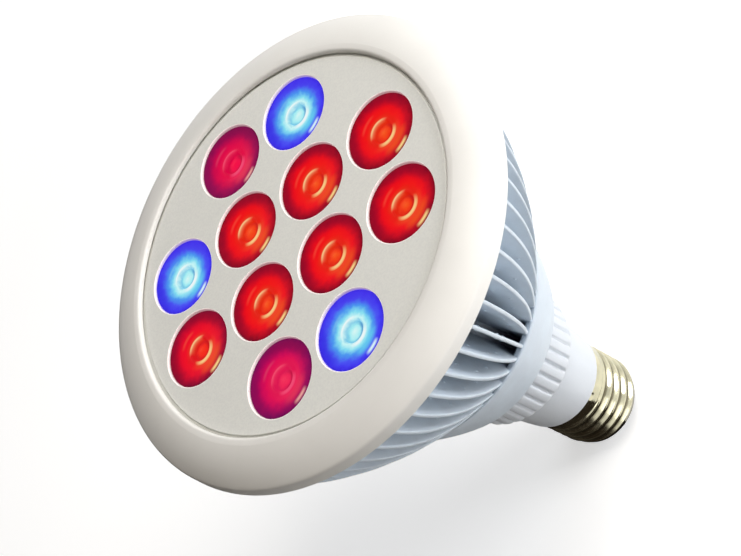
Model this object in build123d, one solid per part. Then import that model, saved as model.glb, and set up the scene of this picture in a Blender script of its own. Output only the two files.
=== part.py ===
"""Grow light bulb: a screw-cap lamp with a finned casting and twelve lensed emitters.

Millimetres. The origin is the tip of the cap's end contact and +Z runs along the lamp's axis
to the lit face, so every piece is turned about Z or placed from it.
"""
from build123d import *
from math import cos, hypot, radians, sin
import os

os.makedirs("parts", exist_ok=True)

# Screw cap: a rolled brass shell of the common 26 mm size with a knuckle thread
cap_height = 27.0
thread_crest_radius = 13.1
thread_depth = 1.0
thread_pitch = 3.63
thread_start = 6.1
shell_wall = 0.4
skirt_height = 3.4
shell_lip_turn = 1.7
contact_radius = 4.8
contact_flat_radius = 2.6
contact_height = 1.6
insulator_seat = 0.6
insulator_step = 3.2
insulator_slope = 0.8
wire_hole_radius = 1.0

# Neck: one moulding with the cap's spigot, a smooth cone, a ribbed grip ring and a long tube
spigot_clearance = 0.1
spigot_setback = 2.1
neck_wall = 2.0
cone_height = 19.5
cone_step = 0.8
cone_flare = 1.3
cone_bulge = 0.35
ring_height = 19.8
ring_shoulder = 1.6
rib_count = 34
rib_height = 0.8
rib_share = 0.8
ring_rear_round = 2.2
tube_radius = 17.7
tube_clearance = 0.3
screw_boss_radius = 2.9
screw_boss_length = 16.0
screw_boss_sink = 0.2

# Heat sink: one casting with a collar, a core, leaning fins, a base and a front rim
collar_height = 18.5
collar_ledge = 6.3
collar_flare = 7.9
collar_bulge = 0.5
collar_wall = 2.1
floor_thickness = 2.5
core_wall = 2.5
fin_count = 60
fin_thickness = 1.0
fin_lean = 3.5
fin_phase = 4.5
fin_run = 47.9
fin_setback = 2.7
fin_bulge = 3.17
fin_root = 0.6
base_thickness = 4.0
base_drop = 6.0
rim_wall = 6.5
rim_slope = 8.5

# Light engine: board on a pad, emitters in a square grid without its corners, one lens each
pad_thickness = 0.5
board_thickness = 1.6
board_clearance = 1.0
led_base_radius = 4.0
led_base_height = 1.0
led_dome_radius = 2.4
led_clearance = 0.2
dome_clearance = 1.0
lens_gap = 0.25
lens_flange_height = 1.2
lens_height = 12.0
lens_foot_wall = 1.8
lens_fit = 0.1
lens_recess = 0.5
lens_dish_depth = 0.7
lens_well_radius = 3.0
lens_well_depth = 0.9
board_screw_inset = 4.5
board_screw_count = 4
board_screw_length = 5.0

# Face: a plate with one hole for each lens, held down by the bezel
plate_thickness = 2.2
plate_seat = 4.3
hole_flare = 0.6
hole_web = 1.0
hole_margin = 3.4
bezel_radius = 61.0
bezel_width = 12.1
bezel_overhang = 6.0
bezel_lip_height = 1.2
bezel_lip_land = 0.6
bezel_skirt = 3.8
bezel_wall = 2.0
bezel_gap = 0.6
bezel_side = 2.2
bezel_round = 1.2
bezel_bulge = 0.7
bezel_fit = 0.25
snap_ring_width = 1.4

# Screws, M3 with flat cylindrical heads
screw_radius = 1.5
screw_head_radius = 2.7
screw_head_height = 1.8
screw_fit = 0.05
neck_screw_length = 14.0
neck_screw_count = 3

# Driver board and the parts soldered to it
driver_side_gap = 2.2
driver_tail_gap = 0.5
driver_height = 70.0
driver_thickness = 1.6
driver_offset = 2.5
driver_start = 4.5
rail_depth = 3.0
rail_cheek = 1.2
rail_height = 31.0
lead_radius = 0.7
lead_bend = 2.5
lead_spacing = 1.7
lead_lap = 4.0
lead_foot = 5.5
fuse_radius = 1.6
fuse_length = 8.0
fuse_place = 6.5
film_capacitor_width = 12.0
film_capacitor_depth = 5.5
film_capacitor_length = 10.0
film_capacitor_place = 13.0
rectifier_width = 6.0
rectifier_depth = 3.2
rectifier_length = 5.0
rectifier_place = 11.0
choke_radius = 4.5
choke_length = 8.0
choke_flange = 1.2
choke_core_radius = 3.8
choke_place = 27.0
bulk_capacitor_radius = 5.0
bulk_capacitor_length = 12.0
bulk_capacitor_place = 30.8
core_width = 14.0
core_depth = 11.0
core_length = 12.0
bobbin_width = 11.0
bobbin_depth = 12.5
bobbin_length = 16.0
bobbin_place = 38.8
chip_width = 5.0
chip_depth = 1.6
chip_length = 4.0
chip_place = 38.0
output_capacitor_radius = 4.0
output_capacitor_length = 8.0
output_capacitor_shift = 3.0
output_capacitor_drop = 9.7

# Heights of the seats along the axis
z_cone = cap_height
z_ring = z_cone + cone_height
z_collar = z_ring + ring_height
z_fins = z_collar + collar_height
z_fin_top = z_fins + fin_run
z_bezel = z_fin_top + bezel_gap
z_plate = z_bezel + bezel_skirt
z_face = z_plate + plate_thickness
z_lip = z_face + bezel_lip_height
z_board = z_plate - lens_height
z_pad = z_board - board_thickness
z_base = z_pad - pad_thickness
z_tube_end = z_base - base_thickness
z_floor = z_collar + floor_thickness
z_skirt = z_cone - skirt_height
z_mouth = contact_height - insulator_seat + insulator_step
z_shelf = z_mouth + shell_wall + spigot_clearance
z_plug = z_shelf + insulator_step
z_spigot = z_plug + spigot_setback
z_driver = z_cone + driver_start
z_driver_top = z_driver + driver_height

# Radii and widths that follow from the fits
thread_root_radius = thread_crest_radius - thread_depth
thread_turns = int((z_skirt - thread_start) / thread_pitch - 0.5)
shell_lip_radius = thread_root_radius - shell_lip_turn
spigot_radius = thread_root_radius - shell_wall - spigot_clearance
skirt_radius = thread_crest_radius
skirt_spigot_radius = skirt_radius - shell_wall - spigot_clearance
throat_radius = spigot_radius - neck_wall
cone_rear_radius = skirt_radius + cone_step
cone_front_radius = cone_rear_radius + cone_flare
ring_radius = tube_radius + ring_shoulder
tube_inner_radius = tube_radius - neck_wall
neck_screw_circle = tube_inner_radius - screw_boss_radius + screw_boss_sink
bore_radius = tube_radius + tube_clearance
core_radius = bore_radius + core_wall
collar_rear_radius = core_radius + collar_ledge
collar_front_radius = collar_rear_radius + collar_flare
fin_front_radius = bezel_radius - fin_setback
rim_outer_radius = bezel_radius - bezel_overhang
rim_inner_radius = rim_outer_radius - rim_wall
bezel_opening_radius = bezel_radius - bezel_width
plate_radius = rim_inner_radius + plate_seat
board_radius = rim_inner_radius - board_clearance
board_screw_circle = board_radius - board_screw_inset
wire_way_radius = screw_head_radius + tube_clearance
driver_width = 2 * (tube_inner_radius - driver_side_gap)
driver_tail_width = 2 * (throat_radius - driver_tail_gap)
driver_front = -driver_offset + driver_thickness / 2
driver_back = -driver_offset - driver_thickness / 2

# The grid fills the bezel's opening: the outermost hole keeps a margin, its neighbours a web
led_reach = hypot(1.5, 0.5)
led_pitch = (bezel_opening_radius - hole_margin + hole_web / 2) / (led_reach + 0.5)
lens_radius = (led_pitch - hole_web) / 2 - hole_flare
lens_flange_radius = led_pitch / 2 - lens_gap
lens_pocket_radius = led_base_radius + led_clearance
lens_pocket_depth = led_base_height + led_dome_radius + dome_clearance
lens_foot_radius = lens_pocket_radius + lens_foot_wall


def at(radius, height):
    """A point of a half section, in the XZ plane."""
    return Vector(radius, 0, height)


def path(*points):
    """Straight edges through the points of a half section."""
    spots = [at(*point) for point in points]
    return [Line(a, b) for a, b in zip(spots, spots[1:])]


def arc(start, middle, end):
    """A round stretch of a half section."""
    return [ThreePointArc(at(*start), at(*middle), at(*end))]


def bulged(start, end, rise):
    """A round stretch that stands out from the straight line by rise, on the line's left."""
    run = hypot(end[0] - start[0], end[1] - start[1])
    side = (-(end[1] - start[1]) / run, (end[0] - start[0]) / run)
    middle = tuple((a + b) / 2 + rise * s for a, b, s in zip(start, end, side))
    return arc(start, middle, end)


def turned(edges):
    """The solid that a closed half section makes when it turns about the axis."""
    return revolve(make_face(Wire(edges)), axis=Axis.Z)


def rod(radius, low, high, x=0.0, y=0.0):
    """An upright round bar."""
    return Pos(x, y, low) * Cylinder(radius, high - low, align=(Align.CENTER, Align.CENTER, Align.MIN))


def block(x, y, z, low_corner):
    """A rectangular block by its sizes and its lowest corner."""
    return Pos(*low_corner) * Box(x, y, z, align=(Align.MIN, Align.MIN, Align.MIN))


def around(count, radius, start_angle=0.0):
    """Evenly spaced spots on a circle."""
    angles = [radians(start_angle + 360 * k / count) for k in range(count)]
    return [(radius * cos(a), radius * sin(a)) for a in angles]


def led_spots():
    """A grid of four by four without its corners, read in rows from the back left."""
    steps = (-1.5, -0.5, 0.5, 1.5)
    spots = [(i * led_pitch, j * led_pitch) for j in reversed(steps) for i in steps]
    return [spot for spot in spots if hypot(*spot) < 2 * led_pitch]


def screw(length, z_seat, x, y):
    """A screw that hangs from its head's underside."""
    shank = rod(screw_radius, z_seat - length, z_seat, x, y)
    head = rod(screw_head_radius, z_seat, z_seat + screw_head_height, x, y)
    return shank + head


def end_contact():
    """The brass button that meets the socket's spring: a shallow dome with a flat tip."""
    tip = contact_flat_radius
    side = contact_height - insulator_seat
    edges = path((0, 0), (tip, 0)) + bulged((tip, 0), (contact_radius, side), -0.15)
    edges += path((contact_radius, side), (contact_radius, contact_height), (0, contact_height), (0, 0))
    return turned(edges)


def cap_insulator():
    """The black plug that carries the contact and fills the shell's mouth."""
    z_low = contact_height - insulator_seat
    seat = contact_radius + spigot_clearance
    mouth = shell_lip_radius - spigot_clearance
    plug = spigot_radius - 2 * spigot_clearance
    slope = insulator_slope
    points = [(wire_hole_radius, contact_height), (seat, contact_height), (seat, z_low),
              (seat + slope, z_low), (mouth, z_mouth), (mouth, z_shelf), (plug, z_shelf + slope),
              (plug, z_plug), (wire_hole_radius, z_plug), (wire_hole_radius, contact_height)]
    return turned(path(*points))


def shell_skin(inset, rounded):
    """One skin of the rolled shell, from its mouth over the waves of the thread to its rim."""
    crest, root = thread_crest_radius - inset, thread_root_radius - inset
    mean = (crest + root) / 2
    quarter = thread_pitch / 4
    bend = (thread_root_radius - 0.2 - inset / 2, z_mouth + 0.7 + inset / 2)
    edges = arc((shell_lip_radius, z_mouth + inset), bend, (mean, thread_start))
    z = thread_start
    for k in range(2 * thread_turns + 1):
        peak = root if k % 2 else crest
        wave = (mean, z), (peak, z + quarter), (mean, z + 2 * quarter)
        edges += arc(*wave) if rounded else path(*wave)
        z += 2 * quarter
    edges += arc((mean, z), (mean - thread_depth / 4, (z + z_skirt) / 2), (crest, z_skirt))
    return edges + path((crest, z_skirt), (crest, z_cone))


def screw_shell():
    """The thin rolled shell that screws into the lamp holder."""
    outer, inner = shell_skin(0, True), shell_skin(shell_wall, False)
    mouth = Line(outer[0] @ 0, inner[0] @ 0)
    rim = Line(outer[-1] @ 1, inner[-1] @ 1)
    return turned([mouth] + outer + [rim] + inner)


def rib_outline(radius, height):
    """The grip ring's cross-section: broad round ribs with narrow flat grooves between."""
    step = 360 / rib_count
    foot = radius - height
    edges = []
    for k in range(rib_count):
        start, stop, end = (radians(step * (k + share)) for share in (0, rib_share, 1))
        middle = (start + stop) / 2
        spots = [(foot * cos(start), foot * sin(start)), (radius * cos(middle), radius * sin(middle)),
                 (foot * cos(stop), foot * sin(stop)), (foot * cos(end), foot * sin(end))]
        edges += [ThreePointArc(*spots[:3]), Line(*spots[2:])]
    return make_face(Wire(edges))


def grip_ring():
    """The ribbed ring with its rear corner rounded off."""
    corner = ring_radius - ring_rear_round
    ribs = extrude(Plane((0, 0, z_ring)) * rib_outline(ring_radius, rib_height), ring_height)
    edges = path((0, z_ring), (corner, z_ring))
    edges += bulged((corner, z_ring), (ring_radius, z_ring + ring_rear_round), -0.5)
    edges += path((ring_radius, z_ring + ring_rear_round), (ring_radius, z_collar), (0, z_collar),
                  (0, z_ring))
    return ribs & turned(edges)


def neck_cone():
    """The cone behind the ring, with the stepped spigot that the shell is crimped on."""
    z_step = z_skirt + 3 * spigot_clearance
    edges = path((0, z_spigot), (spigot_radius, z_spigot), (spigot_radius, z_step),
                 (skirt_spigot_radius, z_step), (skirt_spigot_radius, z_cone), (cone_rear_radius, z_cone))
    edges += bulged((cone_rear_radius, z_cone), (cone_front_radius, z_ring), -cone_bulge)
    edges += path((cone_front_radius, z_ring), (0, z_ring), (0, z_spigot))
    return turned(edges)


def neck_cavity():
    """The hollow of the neck, from the spigot's end to the top of the tube."""
    return turned(path((0, z_spigot), (throat_radius, z_spigot), (throat_radius, z_cone),
                       (cone_front_radius - neck_wall, z_ring), (tube_inner_radius, z_collar),
                       (tube_inner_radius, z_tube_end), (0, z_tube_end), (0, z_spigot)))


def driver_rail(side):
    """A slotted rail, closed below, that holds one edge of the driver board."""
    inner = driver_width / 2 - rail_depth
    near = Align.MIN if side > 0 else Align.MAX
    place = Pos(side * inner, -driver_offset, z_collar - neck_wall)
    rail = place * Box(tube_radius - inner, driver_thickness + 2 * rail_cheek, rail_height,
                       align=(near, Align.CENTER, Align.MIN))
    width, depth = driver_width + 2 * screw_fit, driver_thickness + 2 * screw_fit
    slot = Pos(0, -driver_offset, z_collar) * Box(width, depth, rail_height,
                                                  align=(Align.CENTER, Align.CENTER, Align.MIN))
    within = rod(tube_radius - neck_wall / 2, z_collar - neck_wall, z_tube_end)
    return (rail & within) - slot


def neck_bosses():
    """Three bosses on the tube's wall that take the long screws."""
    z_boss = z_tube_end - screw_boss_length
    spots = around(neck_screw_count, neck_screw_circle, 90)
    bosses = Compound([rod(screw_boss_radius, z_boss, z_tube_end, x, y) for x, y in spots])
    return bosses & rod(tube_radius - neck_wall / 2, z_boss, z_tube_end)


def neck_housing():
    """The white moulding between the cap and the casting, open along its middle."""
    body = grip_ring() + neck_cone() + rod(tube_radius, z_collar, z_tube_end) - neck_cavity()
    body = body + neck_bosses() + driver_rail(-1) + driver_rail(1)
    spots = around(neck_screw_count, neck_screw_circle, 90)
    z_pilot = z_tube_end - screw_boss_length
    pilots = [rod(screw_radius + screw_fit, z_pilot, z_tube_end, x, y) for x, y in spots]
    way = 2 * (lead_radius + spigot_clearance)
    notch = Pos(0, 0, z_cone - skirt_height / 2) * Box(2 * skirt_radius, way, way,
                                                       align=(Align.MIN, Align.CENTER, Align.CENTER))
    return body - Compound(pilots) - notch


def fin():
    """One flat fin: its outer edge is the lamp's outline and its inner edge is in the core."""
    root = core_radius - fin_root
    wall = collar_wall / 2
    z_under = z_tube_end + fin_root
    tip, foot = rim_outer_radius - fin_root, rim_outer_radius - rim_slope
    edges = path((root, z_floor - fin_root), (collar_rear_radius - wall, z_floor - fin_root),
                 (collar_front_radius - wall, z_fins - fin_root), (collar_front_radius - fin_root, z_fins))
    edges += bulged((collar_front_radius - fin_root, z_fins), (fin_front_radius, z_fin_top), -fin_bulge)
    edges += path((fin_front_radius, z_fin_top), (tip, z_fin_top), (tip, z_tube_end + rim_slope),
                  (foot, z_under), (core_radius + base_drop, z_under), (root, z_under - base_drop),
                  (root, z_floor - fin_root))
    plate = extrude(make_face(Wire(edges)), fin_thickness / 2, both=True)
    pivot = z_fins + fin_run / 2
    return Pos(0, 0, pivot) * Rot(fin_lean, 0, 0) * Pos(0, 0, -pivot) * plate


def casting():
    """The turned body of the heat sink: collar, floor, core, dished base and rim."""
    collar_inner = collar_front_radius - collar_wall
    edges = path((bore_radius, z_collar), (collar_rear_radius, z_collar))
    edges += bulged((collar_rear_radius, z_collar), (collar_front_radius, z_fins), -collar_bulge)
    edges += path((collar_front_radius, z_fins), (collar_inner, z_fins),
                  (collar_rear_radius - collar_wall, z_floor), (core_radius, z_floor),
                  (core_radius, z_tube_end - base_drop),
                  (core_radius + base_drop, z_tube_end), (rim_outer_radius - rim_slope, z_tube_end),
                  (rim_outer_radius, z_tube_end + rim_slope), (rim_outer_radius, z_plate),
                  (rim_inner_radius, z_plate), (rim_inner_radius, z_base), (wire_way_radius, z_base),
                  (wire_way_radius, z_tube_end), (bore_radius, z_tube_end), (bore_radius, z_collar))
    return turned(edges)


def heat_sink():
    """The casting with its sixty leaning fins and its screw holes."""
    first = fin()
    fins = [Rot(0, 0, fin_phase + 360 * k / fin_count) * first for k in range(fin_count)]
    body = casting().fuse(*[piece.solid() for piece in fins])
    holes = []
    for x, y in around(neck_screw_count, neck_screw_circle, 90):
        holes.append(rod(screw_head_radius + screw_fit, z_base - screw_head_height, z_base, x, y))
        holes.append(rod(screw_radius + screw_fit, z_tube_end, z_base, x, y))
    for x, y in around(board_screw_count, board_screw_circle, 45):
        holes.append(rod(screw_radius + screw_fit, z_board - board_screw_length - screw_fit, z_base, x, y))
    return body - Compound(holes)


def drilled_disc(low, high):
    """A disc inside the rim with its screw holes and the way for the leads."""
    spots = around(board_screw_count, board_screw_circle, 45)
    holes = [rod(screw_radius + screw_fit, low, high, x, y) for x, y in spots]
    return rod(board_radius, low, high) - Compound(holes + [rod(wire_way_radius, low, high)])


def led():
    """One emitter: a round base with a clear dome."""
    z_top = z_board + led_base_height
    slant = led_dome_radius * cos(radians(45))
    edges = path((0, z_board), (led_base_radius, z_board), (led_base_radius, z_top),
                 (led_dome_radius, z_top))
    edges += arc((led_dome_radius, z_top), (slant, z_top + slant), (0, z_top + led_dome_radius))
    edges += path((0, z_top + led_dome_radius), (0, z_board))
    return turned(edges)


def lens():
    """One moulded lens round its emitter: its flange is under the face plate, its head in the hole."""
    z_under = z_plate - lens_flange_height
    z_pocket = z_board + lens_pocket_depth
    z_rim = z_face - lens_recess
    z_dish = z_rim - lens_dish_depth
    z_well = z_dish - lens_well_depth
    head = lens_radius - lens_fit
    return turned(path((0, z_pocket), (lens_pocket_radius, z_pocket), (lens_pocket_radius, z_board),
                       (lens_foot_radius, z_board), (lens_radius, z_under), (lens_flange_radius, z_under),
                       (lens_flange_radius, z_plate), (head, z_plate), (head, z_rim),
                       (lens_well_radius, z_dish), (lens_well_radius, z_well), (0, z_well), (0, z_pocket)))


def face_plate():
    """The plate with a flared hole over each lens."""
    plate = rod(plate_radius, z_plate, z_face)
    hole = turned(path((0, z_plate), (lens_radius, z_plate), (lens_radius, z_face - hole_flare),
                       (lens_radius + hole_flare, z_face), (0, z_face), (0, z_plate)))
    return plate - Compound([Pos(x, y, 0) * hole for x, y in led_spots()])


def front_bezel():
    """The broad rolled ring that holds the plate down and hides the casting's rim."""
    lip = bezel_opening_radius + bezel_lip_height - bezel_lip_land / 2
    land = lip + bezel_lip_land
    z_side = z_bezel + bezel_side
    shoulder = bezel_radius - bezel_round * 0.6
    edges = arc((bezel_opening_radius, z_face), (bezel_opening_radius + 0.3, z_lip - 0.35), (lip, z_lip))
    edges += path((lip, z_lip), (land, z_lip))
    edges += bulged((land, z_lip), (shoulder, z_side + bezel_round), bezel_bulge)
    edges += bulged((shoulder, z_side + bezel_round), (bezel_radius, z_side), 0.2)
    step = plate_radius + bezel_fit
    snap = rim_outer_radius + bezel_fit
    snap_outer = snap + snap_ring_width
    inner = bezel_radius - bezel_wall
    edges += path((bezel_radius, z_side), (bezel_radius - 0.15, z_bezel), (inner, z_bezel), (inner, z_side),
                  (snap_outer, z_side + bezel_wall), (snap_outer, z_bezel), (snap, z_bezel), (snap, z_plate),
                  (step, z_plate), (step, z_face), (bezel_opening_radius, z_face))
    return turned(edges)


def driver_board():
    """The upright board: a narrow tail in the neck and a wide part in the rails."""
    tail = block(driver_tail_width, driver_thickness, z_collar - z_driver,
                 (-driver_tail_width / 2, driver_back, z_driver))
    wide = block(driver_width, driver_thickness, z_driver_top - z_collar,
                 (-driver_width / 2, driver_back, z_collar))
    return tail + wide


def transformer():
    """A small ferrite core around a wound bobbin."""
    z_low = z_driver + bobbin_place
    bobbin = block(bobbin_width, bobbin_depth, bobbin_length, (-bobbin_width / 2, driver_front, z_low))
    corner = (-core_width / 2, driver_front + bobbin_depth - core_depth,
              z_low + (bobbin_length - core_length) / 2)
    core = block(core_width, core_depth, core_length, corner)
    return bobbin + core


def upright_part(width, depth, length, place, side):
    """A boxed part flat on the driver board, centred on it: side is 1 in front, -1 behind."""
    y = driver_front if side > 0 else driver_back - depth
    return block(width, depth, length, (-width / 2, y, z_driver + place))


def can(radius, length, x, z, side):
    """A round part that stands off the driver board: side is 1 in front, -1 behind."""
    face = driver_front if side > 0 else driver_back
    return Pos(x, face + side * length / 2, z) * Rot(90, 0, 0) * Cylinder(radius, length)


def choke():
    """A drum core with its winding between two flanges."""
    z = z_driver + choke_place
    winding = choke_length - 2 * choke_flange
    groove = Cylinder(2 * choke_radius, winding) - Cylinder(choke_core_radius, winding)
    middle = Pos(0, driver_back - choke_length / 2, z)
    return can(choke_radius, choke_length, 0, z, -1) - middle * Rot(90, 0, 0) * groove


def fuse():
    """A round fusible resistor beside the mains leads."""
    place = Pos(0, driver_front + fuse_radius, z_driver + fuse_place)
    return place * Rot(0, 90, 0) * Cylinder(fuse_radius, fuse_length)


def lead(points):
    """An insulated wire along straight runs with round bends."""
    route = FilletPolyline(*points, radius=lead_bend)
    start = Plane(route @ 0, z_dir=route % 0)
    return sweep(start * Circle(lead_radius), path=route)


def contact_lead():
    """From the end contact up to the tail of the driver board."""
    y = driver_front + lead_radius
    return lead([(0, 0, contact_height), (0, 0, z_cone - 9), (0, y, z_cone - 2), (0, y, z_driver + 3)])


def shell_lead():
    """From the skirt of the shell, through the spigot's notch, to the board."""
    x = driver_tail_width / 4
    y = driver_back - lead_radius
    z = z_cone - skirt_height / 2
    return lead([(skirt_radius - shell_wall, 0, z), (x, 0, z), (x, y, z + 4.5), (x, y, z_driver + 6)])


def led_lead(side):
    """From the top of the driver board through the base to the face of the emitters' board."""
    x = side * lead_spacing / 2
    y = driver_front + lead_radius
    z_end = z_board + lead_radius
    room = z_end - z_driver_top
    return lead([(x, y, z_driver_top - lead_lap), (x, y, z_driver_top + 0.15 * room),
                 (x, 0, z_driver_top + 0.6 * room), (x, 0, z_end), (x + side * lead_foot, 0, z_end)])


def screws(count, circle, start_angle, length, z_seat):
    """A set of alike screws on a circle, as one group of separate solids."""
    return Compound([screw(length, z_seat, x, y) for x, y in around(count, circle, start_angle)])


def write(name, shape):
    """One file for each sub-part, named after it."""
    shape.label = name
    export_step(shape, f"parts/{name}.step")


write("end_contact", end_contact())
write("cap_insulator", cap_insulator())
write("screw_shell", screw_shell())
write("neck_housing", neck_housing())
write("heat_sink", heat_sink())
write("thermal_pad", drilled_disc(z_base, z_pad))
write("led_board", drilled_disc(z_pad, z_board))
for number, (x, y) in enumerate(led_spots(), start=1):
    write(f"led_{number:02d}", Pos(x, y, 0) * led())
    write(f"lens_{number:02d}", Pos(x, y, 0) * lens())
write("face_plate", face_plate())
write("front_bezel", front_bezel())
write("board_screws", screws(board_screw_count, board_screw_circle, 45, board_screw_length, z_board))
write("neck_screws", screws(neck_screw_count, neck_screw_circle, 90, neck_screw_length,
                            z_base - screw_head_height))
write("driver_board", driver_board())
write("fuse", fuse())
write("film_capacitor", upright_part(film_capacitor_width, film_capacitor_depth, film_capacitor_length,
                                     film_capacitor_place, 1))
write("rectifier", upright_part(rectifier_width, rectifier_depth, rectifier_length, rectifier_place, -1))
write("choke", choke())
write("bulk_capacitor", can(bulk_capacitor_radius, bulk_capacitor_length, 0,
                            z_driver + bulk_capacitor_place, 1))
write("transformer", transformer())
write("driver_chip", upright_part(chip_width, chip_depth, chip_length, chip_place, -1))
write("output_capacitor", can(output_capacitor_radius, output_capacitor_length, -output_capacitor_shift,
                              z_driver_top - output_capacitor_drop, -1))
write("contact_lead", contact_lead())
write("shell_lead", shell_lead())
write("led_lead_positive", led_lead(1))
write("led_lead_negative", led_lead(-1))
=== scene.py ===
"""Visual model of a screw-cap grow light bulb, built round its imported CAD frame.

Outlines are written in millimetres, and MM turns them to Blender's metres.
"""
import math
from types import SimpleNamespace

import bpy
from mathutils import Matrix, Vector


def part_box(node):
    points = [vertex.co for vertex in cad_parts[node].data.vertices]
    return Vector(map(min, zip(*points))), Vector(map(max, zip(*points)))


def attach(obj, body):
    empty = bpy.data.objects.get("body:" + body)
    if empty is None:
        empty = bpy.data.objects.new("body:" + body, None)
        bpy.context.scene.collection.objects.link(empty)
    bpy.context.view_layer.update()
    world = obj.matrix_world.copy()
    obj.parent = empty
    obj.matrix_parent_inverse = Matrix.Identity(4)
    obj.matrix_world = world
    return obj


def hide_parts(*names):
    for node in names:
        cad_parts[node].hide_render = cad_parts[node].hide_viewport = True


bl_info = {
    "name": "Grow light bulb",
    "version": (1, 0, 0),
    "blender": (4, 5, 0),
    "location": "View3D > Sidebar > Grow light",
    "description": "Builds the dressed model of a finned grow light bulb and its studio",
    "category": "Object",
}

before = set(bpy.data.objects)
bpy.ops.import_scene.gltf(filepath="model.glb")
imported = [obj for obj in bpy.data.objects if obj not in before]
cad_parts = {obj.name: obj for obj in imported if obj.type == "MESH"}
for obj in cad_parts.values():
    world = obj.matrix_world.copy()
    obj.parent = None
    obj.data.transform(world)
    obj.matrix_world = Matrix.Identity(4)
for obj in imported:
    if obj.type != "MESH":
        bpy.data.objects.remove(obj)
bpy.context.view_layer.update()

MM = 0.001
FULL_TURN = 2 * math.pi

# Boxes of the solids that the pieces are fitted to
shell_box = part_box("screw_shell")
neck_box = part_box("neck_housing")
sink_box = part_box("heat_sink")
plate_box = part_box("face_plate")
bezel_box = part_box("front_bezel")
board_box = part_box("led_board")
lens_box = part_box("lens_05")

# The twelve places of the grid, in half pitches, with the lens colour that the photograph shows
LENS_GRID = (
    ("01", -1, 3, "purple"), ("02", 1, 3, "blue"),
    ("03", -3, 1, "blue"), ("04", -1, 1, "red"), ("05", 1, 1, "red"), ("06", 3, 1, "red"),
    ("07", -3, -1, "crimson"), ("08", -1, -1, "red"), ("09", 1, -1, "red"), ("10", 3, -1, "red"),
    ("11", -1, -3, "magenta"), ("12", 1, -3, "blue"),
)


def low(box, axis):
    """A box's lowest coordinate along an axis, in millimetres."""
    return box[0][axis] / MM


def high(box, axis):
    """A box's highest coordinate along an axis, in millimetres."""
    return box[1][axis] / MM


def lens_places(pitch):
    """Each lens's number, place across and along the face, and colour, for a pitch."""
    half = pitch / 2
    return [(number, across * half, along * half, tone) for number, across, along, tone in LENS_GRID]


class BulbSizes(bpy.types.PropertyGroup):
    """Sizes that a user would change. Heights and overall radii come from the frame."""

    lens_pitch: bpy.props.FloatProperty(
        name="Lens pitch", description="Distance between neighbouring lenses", default=22.1 * MM,
        unit="LENGTH")
    lens_opening: bpy.props.FloatProperty(
        name="Lens opening", description="Radius of the hole over a lens", default=9.95 * MM, unit="LENGTH")
    hole_round: bpy.props.FloatProperty(
        name="Hole edge", description="Rounding of the holes' front edge", default=0.3 * MM, unit="LENGTH")
    gap_width: bpy.props.FloatProperty(
        name="Gap width", description="Width of the shadow gap round the face plate", default=0.75 * MM,
        unit="LENGTH")
    gap_depth: bpy.props.FloatProperty(
        name="Gap depth", description="Depth of the shadow gap round the face plate", default=0.6 * MM,
        unit="LENGTH")
    bezel_opening: bpy.props.FloatProperty(
        name="Bezel opening", description="Radius of the face inside the bezel", default=48.9 * MM,
        unit="LENGTH")
    bezel_bulge: bpy.props.FloatProperty(
        name="Bezel bulge", description="How far the front stands out of a straight cone", default=0.7 * MM,
        unit="LENGTH")
    fin_count: bpy.props.IntProperty(
        name="Fins", description="Number of cooling fins", default=60, min=12)
    fin_thickness: bpy.props.FloatProperty(
        name="Fin thickness", description="Thickness of one fin", default=1.0 * MM, unit="LENGTH")
    fin_lean: bpy.props.FloatProperty(
        name="Fin lean", description="Lean of the fins about their radius", default=math.radians(3.5),
        subtype="ANGLE", unit="ROTATION")
    fin_phase: bpy.props.FloatProperty(
        name="Fin phase", description="Angle of the first fin", default=math.radians(4.5),
        subtype="ANGLE", unit="ROTATION")
    rib_count: bpy.props.IntProperty(
        name="Ribs", description="Number of ribs round the grip ring", default=34, min=8)
    rib_depth: bpy.props.FloatProperty(
        name="Rib depth", description="Depth of the grooves between the ribs", default=0.8 * MM,
        unit="LENGTH")
    rib_phase: bpy.props.FloatProperty(
        name="Rib phase", description="Angle of the first rib", default=0.0, subtype="ANGLE", unit="ROTATION")
    thread_pitch: bpy.props.FloatProperty(
        name="Thread pitch", description="Rise of the cap's thread in one turn", default=3.63 * MM,
        unit="LENGTH")
    thread_depth: bpy.props.FloatProperty(
        name="Thread depth", description="Depth of the rolled thread", default=1.0 * MM, unit="LENGTH")
    thread_phase: bpy.props.FloatProperty(
        name="Thread phase", description="Angle of the crest at the cap's tip", default=math.radians(-27.0),
        subtype="ANGLE", unit="ROTATION")
    crimp_count: bpy.props.IntProperty(
        name="Crimps", description="Number of crimp dents round the skirt", default=9, min=0)


class BulbColours(bpy.types.PropertyGroup):
    """Colours that a user would change, as sRGB hex values."""

    bezel: bpy.props.StringProperty(name="Bezel", description="Warm white moulding", default="#F2F0EB")
    plate: bpy.props.StringProperty(name="Face plate", description="Sprayed plate", default="#ECECE6")
    casting: bpy.props.StringProperty(
        name="Casting", description="Powder coat on the fins", default="#DBE6F0")
    neck: bpy.props.StringProperty(name="Neck", description="Cool white moulding", default="#E6EBF1")
    nickel: bpy.props.StringProperty(name="Screw cap", description="Nickel plating", default="#D6D1B4")
    background: bpy.props.StringProperty(
        name="Background", description="The white behind the lamp", default="#FFFFFF")


def sizes_in_mm():
    """The sizes set in the panel, with their lengths in millimetres."""
    group = bpy.context.scene.bulb_sizes
    values = {}
    for name in group.__annotations__:
        is_length = group.bl_rna.properties[name].unit == "LENGTH"
        values[name] = getattr(group, name) / MM if is_length else getattr(group, name)
    return SimpleNamespace(**values)


def linear(hex_colour):
    """The linear RGBA of an sRGB hex value."""
    channels = [int(hex_colour[i:i + 2], 16) / 255 for i in (1, 3, 5)]
    return [c / 12.92 if c <= 0.04045 else ((c + 0.055) / 1.055) ** 2.4 for c in channels] + [1.0]


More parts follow.
